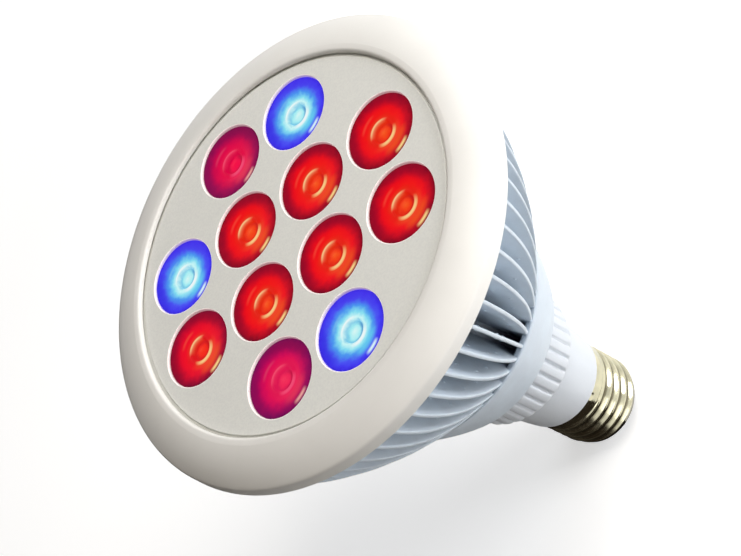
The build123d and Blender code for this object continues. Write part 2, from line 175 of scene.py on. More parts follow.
# The sockets of a Mix node that are used for colours
MIX_AMOUNT, MIX_UNDER, MIX_OVER, MIX_RESULT = 0, 6, 7, 2


def node(tree, kind, inputs=None, stops=None, **settings):
    """Adds a node with its settings, and fills or links its inputs."""
    made = tree.nodes.new(kind)
    for key, value in settings.items():
        setattr(made, key, value)
    for key, value in (inputs or {}).items():
        if isinstance(value, bpy.types.NodeSocket):
            tree.links.new(value, made.inputs[key])
        else:
            made.inputs[key].default_value = value
    for index, (place, colour) in enumerate(stops or []):
        elements = made.color_ramp.elements
        stop = elements[index] if index < 2 else elements.new(place)
        stop.position = place
        stop.color = linear(colour)
    return made


def surface(name, colour, **sockets):
    """A material whose shader is given its own values, and the tree and shader to add to."""
    material = bpy.data.materials.new(name)
    material.use_nodes = True
    tree = material.node_tree
    shader = tree.nodes["Principled BSDF"]
    shader.inputs["Base Color"].default_value = linear(colour)
    for key, value in sockets.items():
        shader.inputs[key.replace("_", " ")].default_value = value
    return material, tree, shader


def relief(tree, shader, pattern, depth):
    """Bump on a shader from a pattern's value, as deep in millimetres as given."""
    bump = node(tree, "ShaderNodeBump", {"Height": pattern, "Distance": depth * MM})
    tree.links.new(bump.outputs["Normal"], shader.inputs["Normal"])


def grain(tree, size, detail=2.0, stretch=(1, 1, 1)):
    """Noise whose grains are as large as given in millimetres, stretched along the axes."""
    place = node(tree, "ShaderNodeTexCoord")
    drawn = node(tree, "ShaderNodeMapping", {"Vector": place.outputs["Object"], "Scale": stretch})
    noise = node(tree, "ShaderNodeTexNoise", {"Vector": drawn.outputs["Vector"], "Scale": 1 / (size * MM),
                                              "Detail": detail})
    return noise.outputs["Fac"]


def between(tree, value, lowest, highest):
    """A noise value's middle part spread over a range."""
    spread = node(tree, "ShaderNodeMapRange", {"Value": value, "From Min": 0.3, "From Max": 0.7,
                                               "To Min": lowest, "To Max": highest})
    return spread.outputs["Result"]


def tinted(tree, shader, value, dark, pale):
    """A base colour that drifts between two near tones with a pattern."""
    tone = node(tree, "ShaderNodeValToRGB", {"Fac": value}, stops=((0.35, dark), (0.65, pale)))
    tree.links.new(tone.outputs["Color"], shader.inputs["Base Color"])
    return tone.outputs["Color"]


def shade_of(colour, factor):
    """A hex colour made a little darker or paler."""
    channels = [min(255, round(int(colour[i:i + 2], 16) * factor)) for i in (1, 3, 5)]
    return "#{:02X}{:02X}{:02X}".format(*channels)


def moulded_abs_white(colour):
    """Injection-moulded ABS from a polished mould: soft broad highlights over a faint orange peel."""
    material, tree, shader = surface("moulded ABS, warm white", colour, IOR=1.53, Specular_IOR_Level=0.35)
    # Flow marks wander over 18 mm, and the peel of 1.2 mm is drawn coarser than the real one so that it shows
    flow = grain(tree, size=18.0)
    tinted(tree, shader, flow, shade_of(colour, 0.985), colour)
    tree.links.new(between(tree, flow, 0.34, 0.44), shader.inputs["Roughness"])
    relief(tree, shader, grain(tree, size=1.2), 0.012)
    return material


def sprayed_plate(colour):
    """Satin lacquer sprayed on a stamped plate: matt and even, with a fine pebbled spray."""
    material, tree, shader = surface("sprayed plate, grey-white", colour, IOR=1.5, Specular_IOR_Level=0.25)
    # Spray droplets of 0.5 mm, coarser than real ones so that they show
    spray = grain(tree, size=0.5)
    tinted(tree, shader, spray, shade_of(colour, 0.985), shade_of(colour, 1.01))
    tree.links.new(between(tree, grain(tree, size=14.0), 0.52, 0.64), shader.inputs["Roughness"])
    relief(tree, shader, spray, 0.02)
    return material


def lit_hole_edge(colour):
    """The lacquered edge of a hole, with a painted pale pink glow standing in for the light of the lens
    beside it.
    """
    material, tree, shader = surface("sprayed plate, lit hole edge", colour, Roughness=0.6, IOR=1.5)
    # Painted glow: the edge emits a faint pale pink light of its own
    shader.inputs["Emission Color"].default_value = linear("#FFDCE2")
    shader.inputs["Emission Strength"].default_value = 0.28
    return material


def powder_coat_white(colour):
    """Powder coat baked on die-cast aluminium: cool white, softly glossy, with an orange peel."""
    material, tree, shader = surface("powder-coated casting", colour, IOR=1.5, Specular_IOR_Level=0.4)
    # The melted powder leaves a peel of about 0.9 mm, and settles thinner and darker in patches of 6 mm
    tinted(tree, shader, grain(tree, size=6.0), shade_of(colour, 0.98), colour)
    tree.links.new(between(tree, grain(tree, size=5.0), 0.4, 0.46), shader.inputs["Roughness"])
    relief(tree, shader, grain(tree, size=0.9), 0.03)
    return material


def moulded_pbt_white(colour):
    """Moulded PBT, the heat-proof plastic of lamp necks: smooth, cool white, a little waxy."""
    material, tree, shader = surface("moulded PBT, cool white", colour, IOR=1.55, Specular_IOR_Level=0.4)
    # Flow marks run down the moulding, three times as long as they are wide
    flow = grain(tree, size=9.0, stretch=(1, 1, 0.33))
    tinted(tree, shader, flow, shade_of(colour, 0.975), colour)
    tree.links.new(between(tree, flow, 0.32, 0.42), shader.inputs["Roughness"])
    relief(tree, shader, grain(tree, size=1.0), 0.012)
    return material


def nickel_plate(colour, crest, depth):
    """Nickel plating on rolled brass: a warm mirror with fine rolling lines, and painted shade in the
    thread's roots.
    """
    material, tree, shader = surface("nickel-plated brass", colour, Metallic=1.0)
    # Rolling lines of 0.15 mm go round the shell, and handling dulls it in patches of 5 mm
    lines = grain(tree, size=1.5, stretch=(0.4, 0.4, 10))
    patches = grain(tree, size=5.0)
    bright = tinted(tree, shader, patches, shade_of(colour, 0.88), colour)
    tree.links.new(between(tree, patches, 0.12, 0.24), shader.inputs["Roughness"])
    relief(tree, shader, lines, 0.01)
    # Painted shade darkens the roots, in the inner half of the thread's depth
    place = node(tree, "ShaderNodeTexCoord").outputs["Object"]
    flat = node(tree, "ShaderNodeVectorMath", {0: place, 1: (1, 1, 0)}, operation="MULTIPLY")
    reach = node(tree, "ShaderNodeVectorMath", {0: flat.outputs[0]}, operation="LENGTH")
    root_radius, mean_radius = (crest - depth) * MM, (crest - depth / 2) * MM
    root = node(tree, "ShaderNodeMapRange", {
        "Value": reach.outputs["Value"], "From Min": root_radius, "From Max": mean_radius, "To Min": 0.85,
        "To Max": 0.0}, interpolation_type="SMOOTHSTEP")
    # The painted shade's dark brown is mixed over the plating's colour in the roots
    dulled = node(tree, "ShaderNodeMix", {MIX_AMOUNT: root.outputs["Result"], MIX_UNDER: bright,
                                          MIX_OVER: linear("#4E4630")}, data_type="RGBA")
    tree.links.new(dulled.outputs[MIX_RESULT], shader.inputs["Base Color"])
    return material


def turned_brass():
    """Stamped brass contact: a warm metal dulled by handling."""
    material, tree, shader = surface("stamped brass", "#C9A75A", Metallic=1.0)
    # Scuffs of about 1 mm from the socket's spring
    scuffs = grain(tree, size=1.0, detail=4.0)
    tinted(tree, shader, scuffs, "#A8894A", "#D2B268")
    tree.links.new(between(tree, scuffs, 0.25, 0.45), shader.inputs["Roughness"])
    return material


def black_glass():
    """The pressed glass plug of the cap: black and glossy, with a slightly wavy skin."""
    material, tree, shader = surface("pressed black glass", "#0B0B0D", IOR=1.52)
    # The mould leaves waves of 2.5 mm in the skin
    waves = grain(tree, size=2.5)
    tree.links.new(between(tree, waves, 0.08, 0.2), shader.inputs["Roughness"])
    relief(tree, shader, waves, 0.05)
    return material


def plain(name, colour, roughness, metallic=0.0):
    """A finish for a small part that is nearly or wholly hidden, with a faint drift of tone."""
    material, tree, shader = surface(name, colour, Roughness=roughness, Metallic=metallic)
    tinted(tree, shader, grain(tree, size=2.0), shade_of(colour, 0.9), colour)
    return material


# Light in a lens from its middle to its rim, as shares of the opening
LENS_STOPS = {
    "red": ((0.0, "#FF5E20"), (0.14, "#FA3E14"), (0.24, "#E62610"), (0.38, "#EE2010"), (0.50, "#F81412"),
            (0.64, "#F20616"), (0.78, "#CC021E"), (0.90, "#A2001C"), (1.0, "#740020")),
    "crimson": ((0.0, "#FF3E20"), (0.14, "#FA2818"), (0.24, "#DE1A1C"), (0.38, "#EC1620"), (0.50, "#F60C24"),
                (0.64, "#EA0428"), (0.78, "#C4002C"), (0.90, "#98002C"), (1.0, "#6C002C")),
    "purple": ((0.0, "#FF0C48"), (0.14, "#F80A4A"), (0.24, "#D80642"), (0.38, "#E80646"), (0.50, "#E4044A"),
               (0.64, "#CC004C"), (0.78, "#A80050"), (0.90, "#8A024C"), (1.0, "#6A0446")),
    "magenta": ((0.0, "#FC345E"), (0.14, "#F62458"), (0.24, "#E01A54"), (0.38, "#E61452"), (0.50, "#E60A54"),
                (0.64, "#CE0258"), (0.78, "#A60058"), (0.90, "#8A0256"), (1.0, "#640450")),
    "blue": ((0.0, "#DCFFFC"), (0.17, "#A8F4FA"), (0.26, "#78CCEC"), (0.35, "#D0FFFE"), (0.46, "#88E4F8"),
             (0.60, "#4C9CF6"), (0.76, "#4A56FA"), (0.90, "#4038F6"), (1.0, "#3428D8")),
}

# Brighter and darker patches over the emitter's glow, among them painted highlights on the ring round the
# well and a painted glint near the rim, as shares of the opening: place, width, azimuth and spread in
# degrees, strength, and the colour over a red, a purple and a blue emitter
LENS_GLINTS = (
    (0.40, 0.200, -60, 80, 0.60, "#F4541C", "#F42058", "#A8F0FA"),
    (0.34, 0.160, 120, 80, 0.45, "#EE5424", "#F42458", "#C8F8FC"),
    (0.24, 0.090, -25, 95, 0.85, "#C40C10", "#B8063C", "#3C7EC4"),
    (0.34, 0.070, 120, 70, 0.95, "#FFD294", "#F84C70", "#F4FFFF"),
    (0.35, 0.075, -60, 70, 1.00, "#FFD890", "#F8507A", "#F8FFFF"),
    (0.62, 0.220, -56, 44, 0.60, "#F25C14", "#F03858", "#70E8F4"),
    (0.86, 0.085, -58, 17, 1.00, "#FFDC90", "#F0A8A0", "#E4FFFF"),
    (0.58, 0.060, 128, 34, 0.45, "#FF5840", "#E44870", "#88C8F4"),
    (0.84, 0.260, 62, 62, 0.60, "#8C0026", "#840448", "#4630F0"),
    (0.84, 0.260, 182, 48, 0.60, "#900026", "#8C0452", "#2E26E4"),
)
GLINT_COLOURS = {"red": 0, "crimson": 0, "purple": 1, "magenta": 1, "blue": 2}
# How far an emitter can sit off its lens's middle, and the size of the collimator's facets, in millimetres
EMITTER_SHIFT = 0.9
FACET_SIZE = 1.6
FACET_RIPPLE = 0.035
LENS_GLOW = 0.92


def tinted_acrylic(tone, pitch, opening):
    """Moulded acrylic over a lit emitter: a hot middle, painted highlights on a ring and near the rim, and a
    deep rim.
    """
    material, tree, shader = surface(f"acrylic lens, {tone}", "#100006", Roughness=0.12, IOR=1.49,
                                     Specular_IOR_Level=0.03)
    # The place on the face is wrapped to one cell of the grid, so that all lenses share the pattern
    place = node(tree, "ShaderNodeTexCoord").outputs["Object"]
    wrapped = node(tree, "ShaderNodeVectorMath", {0: place, 1: (pitch * MM,) * 3, 2: (0, 0, 0)},
                   operation="WRAP")
    centred = node(tree, "ShaderNodeVectorMath", {0: wrapped.outputs[0], 1: (pitch * MM / 2,) * 3},
                   operation="SUBTRACT")
    flat = node(tree, "ShaderNodeVectorMath", {0: centred.outputs[0], 1: (1, 1, 0)}, operation="MULTIPLY")
    reach = node(tree, "ShaderNodeVectorMath", {0: flat.outputs[0]}, operation="LENGTH")
    share = node(tree, "ShaderNodeMath", {0: reach.outputs["Value"], 1: opening * MM}, operation="DIVIDE")
    # The facets break the light into patches
    facets = node(tree, "ShaderNodeTexNoise", {"Vector": place, "Scale": 1 / (FACET_SIZE * MM),
                                               "Detail": 2.0})
    ripple = between(tree, facets.outputs["Fac"], -FACET_RIPPLE, FACET_RIPPLE)
    spread = node(tree, "ShaderNodeMath", {0: share.outputs[0], 1: ripple}, operation="ADD")
    glow = node(tree, "ShaderNodeValToRGB", {"Fac": spread.outputs[0]}, stops=LENS_STOPS[tone])
    # From lens to lens the emitter sits a little off the middle, which turns the glints
    drift = node(tree, "ShaderNodeTexNoise", {"Vector": place, "Scale": 0.9 / (pitch * MM), "Detail": 0.0})
    drift = node(tree, "ShaderNodeVectorMath", {0: drift.outputs["Color"], 1: (0.5, 0.5, 0.5)},
                 operation="SUBTRACT")
    drift = node(tree, "ShaderNodeVectorMath", {0: drift.outputs[0], 1: (EMITTER_SHIFT * 2 * MM,) * 2 + (0,)},
                 operation="MULTIPLY")
    lit = node(tree, "ShaderNodeVectorMath", {0: flat.outputs[0], 1: drift.outputs[0]})
    side = node(tree, "ShaderNodeVectorMath", {0: lit.outputs[0]}, operation="NORMALIZE")
    colour = glow.outputs["Color"]
    # Each row mixes its patch into the glow; the ring's and the rim's rows are painted highlights
    for radius, width, azimuth, sweep, strength, *colours in LENS_GLINTS:
        toward = (math.cos(math.radians(azimuth)), math.sin(math.radians(azimuth)), 0)
        facing = node(tree, "ShaderNodeVectorMath", {0: side.outputs[0], 1: toward}, operation="DOT_PRODUCT")
        facing = node(tree, "ShaderNodeMapRange", {
            "Value": facing.outputs["Value"], "From Min": math.cos(math.radians(sweep)), "From Max": 1.0,
            "To Min": 0.0, "To Max": strength}, interpolation_type="SMOOTHSTEP")
        off = node(tree, "ShaderNodeMath", {0: share.outputs[0], 1: radius}, operation="SUBTRACT")
        off = node(tree, "ShaderNodeMath", {0: off.outputs[0]}, operation="ABSOLUTE")
        band = node(tree, "ShaderNodeMapRange", {
            "Value": off.outputs[0], "From Min": 0.0, "From Max": width, "To Min": 1.0, "To Max": 0.0},
            interpolation_type="SMOOTHSTEP")
        amount = node(tree, "ShaderNodeMath", {0: band.outputs[0], 1: facing.outputs[0]},
                      operation="MULTIPLY")
        over = linear(colours[GLINT_COLOURS[tone]])
        mixed = node(tree, "ShaderNodeMix", {MIX_AMOUNT: amount.outputs[0], MIX_UNDER: colour,
                                             MIX_OVER: over}, data_type="RGBA")
        colour = mixed.outputs[MIX_RESULT]
    tree.links.new(colour, shader.inputs["Emission Color"])
    shader.inputs["Emission Strength"].default_value = LENS_GLOW
    return material


def deselect():
    """Nothing selected and object mode, before a piece is made."""
    if bpy.context.object and bpy.context.object.mode != "OBJECT":
        bpy.ops.object.mode_set(mode="OBJECT")
    bpy.ops.object.select_all(action="DESELECT")


def outline_ring(name, outline):
    """A closed ring of points in the XZ plane, from a circle whose points are moved to the outline."""
    deselect()
    bpy.ops.mesh.primitive_circle_add(vertices=len(outline), radius=MM, fill_type="NOTHING")
    piece = bpy.context.object
    piece.name = name
    for vertex, (r, z) in zip(piece.data.vertices, outline):
        vertex.co = (r * MM, 0, z * MM)
    return piece


def edit_all(piece):
    """Edit mode with all of the piece selected."""
    deselect()
    piece.select_set(True)
    bpy.context.view_layer.objects.active = piece
    bpy.ops.object.mode_set(mode="EDIT")
    bpy.ops.mesh.select_all(action="SELECT")


def close_up(piece, smooth_angle=35.0):
    """Merged doubles, outward faces and smooth shading up to an angle."""
    bpy.ops.mesh.remove_doubles(threshold=0.02 * MM)
    bpy.ops.mesh.dissolve_degenerate(threshold=0.01 * MM)
    bpy.ops.mesh.select_all(action="SELECT")
    bpy.ops.mesh.normals_make_consistent(inside=False)
    bpy.ops.object.mode_set(mode="OBJECT")
    bpy.ops.object.shade_smooth_by_angle(angle=math.radians(smooth_angle))


def turned(name, outline, steps=192, smooth_angle=35.0):
    """A closed outline spun once round the lamp's axis."""
    piece = outline_ring(name, outline)
    edit_all(piece)
    bpy.ops.mesh.spin(steps=steps, angle=FULL_TURN, center=(0, 0, 0), axis=(0, 0, 1))
    bpy.ops.mesh.select_all(action="SELECT")
    close_up(piece, smooth_angle)
    return piece


def rounded(corners, steps=5):
    """An outline from corners (r, z, rounding), each rounding drawn as an arc of a few points."""
    points = []
    count = len(corners)
    for index, (r, z, rounding) in enumerate(corners):
        here = Vector((r, z))
        if rounding == 0:
            points.append((r, z))
            continue
        before = (Vector(corners[index - 1][:2]) - here).normalized()
        after = (Vector(corners[(index + 1) % count][:2]) - here).normalized()
        half = before.angle(after) / 2
        centre = here + (before + after).normalized() * (rounding / math.sin(half))
        start = here + before * (rounding / math.tan(half)) - centre
        end = here + after * (rounding / math.tan(half)) - centre
        sweep = start.angle(end)
        for k in range(steps + 1):
            share = k / steps
            mixed = start * math.sin((1 - share) * sweep) + end * math.sin(share * sweep)
            spot = centre + mixed / math.sin(sweep)
            points.append((spot.x, spot.y))
    return points


def bulged(start, end, rise, steps=10):
    """Points between two ends of an outline that stand out from the straight line by rise."""
    a, b = Vector(start), Vector(end)
    side = Vector((a.y - b.y, b.x - a.x)).normalized()
    spots = [a.lerp(b, k / steps) + side * rise * 4 * (k / steps) * (1 - k / steps) for k in range(1, steps)]
    return [(spot.x, spot.y, 0) for spot in spots]


def bevelled(piece, width, segments):
    """The active piece with its sharp edges rounded, by a width in millimetres."""
    edge = piece.modifiers.new("edge", "BEVEL")
    edge.width = width * MM
    edge.segments = segments
    edge.limit_method = "ANGLE"
    edge.angle_limit = math.radians(60)
    bpy.ops.object.modifier_apply(modifier=edge.name)


def flatten_faces(piece):
    """Shading normals that follow the large faces, so that flat faces look flat beside rounded edges."""
    weigh = piece.modifiers.new("flat faces", "WEIGHTED_NORMAL")
    weigh.keep_sharp = True
    bpy.ops.object.modifier_apply(modifier=weigh.name)


def reshape(piece, shift):
    """Moves each point of a turned piece in or out by what its angle and height ask, in millimetres."""
    for vertex in piece.data.vertices:
        x, y, z = vertex.co
        reach = math.hypot(x, y)
        if reach > 0:
            factor = 1 + shift(math.atan2(y, x), z / MM, reach / MM) * MM / reach
            vertex.co = (x * factor, y * factor, z)


def join(name, pieces):
    """One object from several."""
    deselect()
    for piece in pieces:
        piece.select_set(True)
    bpy.context.view_layer.objects.active = pieces[0]
    if len(pieces) > 1:
        bpy.ops.object.join()
    bpy.context.object.name = name
    return bpy.context.object


def copies_round(piece, count, start_angle):
    """Copies of a piece, each with its own mesh, turned evenly round the lamp's axis."""
    made = []
    for k in range(count):
        deselect()
        piece.select_set(True)
        bpy.context.view_layer.objects.active = piece
        bpy.ops.object.duplicate()
        copy = bpy.context.object
        copy.data.transform(Matrix.Rotation(start_angle + FULL_TURN * k / count, 4, "Z"))
        made.append(copy)
    bpy.data.objects.remove(piece)
    return made


def settle(piece, material, slot, *nodes):
    """The finish, the body and the CAD nodes that a finished piece stands for."""
    piece.data.materials.clear()
    piece.data.materials.append(material)
    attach(piece, "root")
    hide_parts(*nodes)


# Sides enough for a smooth outline
ROUND_SIDES = 256
CASTING_SIDES = 192
LENS_SIDES = 96
# Where the casting's rim ends, past the plate's edge, and the room round the plate
RIM_OVERLAP = 2.2
SEAT_GAP = 0.25
rim_radius = high(plate_box, 0) + RIM_OVERLAP

# The bezel: a lip at the face, a broad shoulder and a wall with a step over the casting's rim
LIP_DRAFT = 0.1
LIP_WIDTH = 2.0
SHOULDER_INSET = 0.4
SHOULDER_HEIGHT = 3.2
BEZEL_WALL = 2.0
WALL_DRAFT = 0.1
STEP_WALL = 1.4
STEP_HEIGHT = 2.2


class BULB_OT_bezel(bpy.types.Operator):
    """The broad rolled ring round the face"""

    bl_idname = "bulb.bezel"
    bl_label = "Front bezel"

    def execute(self, context):
        sizes = sizes_in_mm()
        opening, radius = sizes.bezel_opening, high(bezel_box, 0)
        z_rear, z_lip = low(bezel_box, 2), high(bezel_box, 2)
        z_rim, z_face = low(plate_box, 2), high(plate_box, 2)
        seat = high(plate_box, 0) + SEAT_GAP
        rim = rim_radius + SEAT_GAP
        lip_end = opening + LIP_WIDTH
        shoulder = (radius - SHOULDER_INSET, z_rear + SHOULDER_HEIGHT)
        corners = [(opening, z_face, 0), (opening + LIP_DRAFT, z_lip, 0.8), (lip_end, z_lip, 0.6)]
        corners += bulged((lip_end, z_lip), shoulder, sizes.bezel_bulge)
        corners += [(*shoulder, 1.2), (radius - WALL_DRAFT, z_rear, 0.2), (radius - BEZEL_WALL, z_rear, 0.2),
                    (radius - BEZEL_WALL, z_rear + STEP_HEIGHT, 0.3),
                    (rim + STEP_WALL, z_rear + STEP_HEIGHT + BEZEL_WALL, 0), (rim + STEP_WALL, z_rear, 0.3),
                    (rim, z_rear, 0.3), (rim, z_rim, 0), (seat, z_rim, 0), (seat, z_face, 0)]
        piece = turned("front_bezel_moulding", rounded(corners), steps=ROUND_SIDES)
        settle(piece, moulded_abs_white(context.scene.bulb_colours.bezel), "bezel", "front_bezel")
        return {"FINISHED"}


# The shadow gap's cutter leaves the plate's edge under the bezel whole, and stands over the plate
PLATE_LAP = 0.5
CUTTER_RISE = 1.0
# How far past a hole, in roundings of its edge, faces count as its lit edge
LIT_REACH = 1.1


class BULB_OT_plate(bpy.types.Operator):
    """The face plate with a rounded hole over each lens and a shadow gap round it"""

    bl_idname = "bulb.plate"
    bl_label = "Face plate"

    def execute(self, context):
        sizes = sizes_in_mm()
        colour = context.scene.bulb_colours.plate
        radius, z_low, z_high = high(plate_box, 0), low(plate_box, 2), high(plate_box, 2)
        thickness, middle = z_high - z_low, (z_low + z_high) / 2
        places = lens_places(sizes.lens_pitch)
        cutters = []
        for number, x, y, tone in places:
            deselect()
            bpy.ops.mesh.primitive_cylinder_add(
                vertices=LENS_SIDES, radius=sizes.lens_opening * MM, depth=thickness * 2 * MM,
                location=(x * MM, y * MM, middle * MM))
            cutters.append(bpy.context.object)
        gap_start, gap_end = sizes.bezel_opening - sizes.gap_width, radius - PLATE_LAP
        gap_floor, gap_top = z_high - sizes.gap_depth, z_high + CUTTER_RISE
        ring = [(gap_start, gap_floor), (gap_end, gap_floor), (gap_end, gap_top), (gap_start, gap_top)]
        cutters.append(turned("gap cutter", ring, steps=ROUND_SIDES))
        cutter = join("hole cutter", cutters)
        deselect()
        bpy.ops.mesh.primitive_cylinder_add(
            vertices=ROUND_SIDES, radius=radius * MM, depth=thickness * MM, location=(0, 0, middle * MM))
        piece = bpy.context.object
        piece.name = "face_plate_sprayed"
        drill = piece.modifiers.new("holes", "BOOLEAN")
        drill.object = cutter
        drill.operation = "DIFFERENCE"
        drill.solver = "EXACT"
        bpy.ops.object.modifier_apply(modifier=drill.name)
        bpy.data.objects.remove(cutter)
        bpy.ops.object.transform_apply(location=True, rotation=True, scale=True)
        bevelled(piece, sizes.hole_round, 4)
        bpy.ops.object.shade_smooth_by_angle(angle=math.radians(35))
        flatten_faces(piece)
        settle(piece, sprayed_plate(colour), "plate", "face_plate")
        piece.data.materials.append(lit_hole_edge(colour))
        centres = [Vector((x, y)) * MM for number, x, y, tone in places]
        lit_reach = (sizes.lens_opening + sizes.hole_round * LIT_REACH) * MM
        for face in piece.data.polygons:
            spots = [piece.data.vertices[index].co.xy for index in face.vertices]
            if min(max((spot - centre).length for spot in spots) for centre in centres) < lit_reach:
                face.material_index = 1
        return {"FINISHED"}


# A lens under its head: a foot round the emitter, a pocket in it and a flange under the plate
FOOT_RADIUS = 6.0
POCKET_RADIUS = 4.2
POCKET_DEPTH = 4.4
FLANGE_THICKNESS = 1.2
# Its head: a dish that falls to a ring round a well, as radii and depths under the rim
HEAD_GAP = 0.1
HEAD_ROUND = 0.4
DISH_START = (0.6, 0.02)
DISH_END = (3.9, 0.92)
DISH_BULGE = -0.16
RING = ((3.35, 0.68, 0.2), (2.95, 0.78, 0.15))
WELL = (2.7, 1.6)
DOME_DEPTH = 1.25
DOME_BULGE = 0.1


class BULB_OT_lenses(bpy.types.Operator):
    """Twelve moulded lenses, each with a shallow dish and a well over its emitter"""

    bl_idname = "bulb.lenses"
    bl_label = "Lenses"

    def execute(self, context):
        sizes = sizes_in_mm()
        pitch, opening = sizes.lens_pitch, sizes.lens_opening
        z_foot, z_plate, z_rim = low(lens_box, 2), low(plate_box, 2), high(lens_box, 2)
        z_pocket, z_flange = z_foot + POCKET_DEPTH, z_plate - FLANGE_THICKNESS
        flange = (high(lens_box, 0) - low(lens_box, 0)) / 2
        head = opening - HEAD_GAP
        dish_start = (head - DISH_START[0], z_rim - DISH_START[1])
        dish_end = (DISH_END[0], z_rim - DISH_END[1])
        well = (WELL[0], z_rim - WELL[1])
        corners = [(0, z_pocket, 0), (POCKET_RADIUS, z_pocket, 0.5), (POCKET_RADIUS, z_foot, 0),
                   (FOOT_RADIUS, z_foot, 0), (opening, z_flange, 0), (flange, z_flange, 0),
                   (flange, z_plate, 0), (head, z_plate, 0), (head, z_rim, HEAD_ROUND)]
        corners += bulged(dish_start, dish_end, DISH_BULGE) + [(*dish_end, 0)]
        corners += [(r, z_rim - depth, rounding) for r, depth, rounding in RING] + [(*well, 0)]
        corners += bulged(well, (0, z_rim - DOME_DEPTH), DOME_BULGE, 5) + [(0, z_rim - DOME_DEPTH, 0)]
        first = turned("lens", rounded(corners, 4), steps=LENS_SIDES, smooth_angle=50)
        materials = {tone: tinted_acrylic(tone, pitch, opening) for tone in LENS_STOPS}
        for number, x, y, tone in lens_places(pitch):
            deselect()
            first.select_set(True)
            context.view_layer.objects.active = first
            bpy.ops.object.duplicate()
            piece = context.object
            piece.name = f"lens_{number}_moulding"
            piece.data.transform(Matrix.Translation((x * MM, y * MM, 0)))
            slot = "lens_blue" if tone == "blue" else "lens_red"
            settle(piece, materials[tone], slot, f"lens_{number}")
        bpy.data.objects.remove(first)
        return {"FINISHED"}


# The casting: a collar that opens upwards round a core, and a dish under the board with a rim
BORE_RADIUS = 18.0
COLLAR_HEIGHT = 18.5
COLLAR_FOOT_RADIUS = 26.8
COLLAR_TOP_RADIUS = 34.7
COLLAR_HOLLOW = -0.5
COLLAR_WALL = 2.1
COLLAR_FLOOR = 2.5
CORE_RADIUS = 20.5
CORE_FLARE = 6.0
DISH_RADIUS = 46.5
DISH_HEIGHT = 8.5
RIM_WIDTH = 6.5
PAD_THICKNESS = 0.5
WIRE_HOLE_RADIUS = 3.0
# A fin: its curved edge stands in a little at the collar, and its root is let into the core and the dish
FIN_INSET = 0.5
FIN_TOP_HEIGHT = 13.7
FIN_TOP_RADIUS = 58.3
FIN_TOP_ROOT = 54.4
FIN_WAIST = (50.2, 24.9)
FIN_LAP = 0.6
FIN_COLLAR_LAP = (1.0, 0.7)
FIN_CURVE_POINTS = 25
FIN_EDGE_ROUND = 0.3

z_collar = low(sink_box, 2)
z_collar_top = z_collar + COLLAR_HEIGHT
z_dish = high(neck_box, 2)
z_fin_top = z_dish + FIN_TOP_HEIGHT


def fin_edge():
    """The curved outer edge of a fin, from the collar up to the bezel."""
    start = Vector((COLLAR_TOP_RADIUS - FIN_INSET, z_collar_top))
    waist = Vector((FIN_WAIST[0], z_collar_top + FIN_WAIST[1]))
    end = Vector((FIN_TOP_RADIUS, z_fin_top))
    control = 2 * waist - (start + end) / 2
    shares = [k / (FIN_CURVE_POINTS - 1) for k in range(FIN_CURVE_POINTS)]
    spots = [start * (1 - t) ** 2 + control * 2 * t * (1 - t) + end * t ** 2 for t in shares]
    return [(spot.x, spot.y) for spot in spots]


def fin_outline():
    """One fin seen from its side: the lamp's outline outside, and its root in the core."""
    z_floor = z_collar + COLLAR_FLOOR - FIN_LAP
    lap, drop = FIN_COLLAR_LAP
    inner_foot = COLLAR_FOOT_RADIUS - COLLAR_WALL + lap
    inner_top = COLLAR_TOP_RADIUS - COLLAR_WALL + lap
    collar_side = [(CORE_RADIUS - FIN_LAP, z_floor), (inner_foot, z_floor), (inner_top, z_collar_top - drop)]
    z_root = z_dish + FIN_LAP
    dish_side = [(FIN_TOP_ROOT, z_fin_top), (FIN_TOP_ROOT, z_dish + DISH_HEIGHT), (DISH_RADIUS, z_root),
                 (CORE_RADIUS + CORE_FLARE, z_root), (CORE_RADIUS - FIN_LAP, z_root - CORE_FLARE)]
    return collar_side + fin_edge() + dish_side


# Where the ejector pins leave their marks on a fin, as the share of its curved edge and the depth inside
# it in millimetres, and how large these are
PIN_MARKS = ((0.30, 4.5), (0.52, 3.2), (0.66, 6.0), (0.84, 4.0))
PIN_RADIUS = 0.45
PIN_FLATNESS = 0.6


def fin_with_pin_marks(thickness, lean):
    """One cast fin in the XZ plane, with its edges rounded and the ejector pins' marks on its sides."""
    fin = outline_ring("fin", fin_outline())
    edit_all(fin)
    bpy.ops.mesh.edge_face_add()
    bpy.ops.mesh.extrude_region_move(TRANSFORM_OT_translate={"value": (0, thickness * MM, 0)})
    bpy.ops.mesh.select_all(action="SELECT")
    bpy.ops.mesh.normals_make_consistent(inside=False)
    bpy.ops.object.mode_set(mode="OBJECT")
    fin.data.transform(Matrix.Translation((0, -thickness / 2 * MM, 0)))
    bevelled(fin, FIN_EDGE_ROUND, 2)
    marks = []
    curve = fin_edge()
    for share, depth in PIN_MARKS:
        r, z = curve[round(share * (len(curve) - 1))]
        for side in (-1, 1):
            deselect()
            bpy.ops.mesh.primitive_uv_sphere_add(segments=8, ring_count=5, radius=PIN_RADIUS * MM)
            mark = bpy.context.object
            mark.data.transform(Matrix.Diagonal((1, PIN_FLATNESS, 1, 1)))
            place = Vector((r - depth, side * thickness / 2, z)) * MM
            mark.data.transform(Matrix.Translation(place))
            marks.append(mark)
    fin = join("fin", [fin] + marks)
    pivot = Vector((0, 0, (z_collar_top + z_fin_top) / 2)) * MM
    tilt = Matrix.Rotation(lean, 4, "X")
    fin.data.transform(Matrix.Translation(pivot) @ tilt @ Matrix.Translation(-pivot))
    return fin


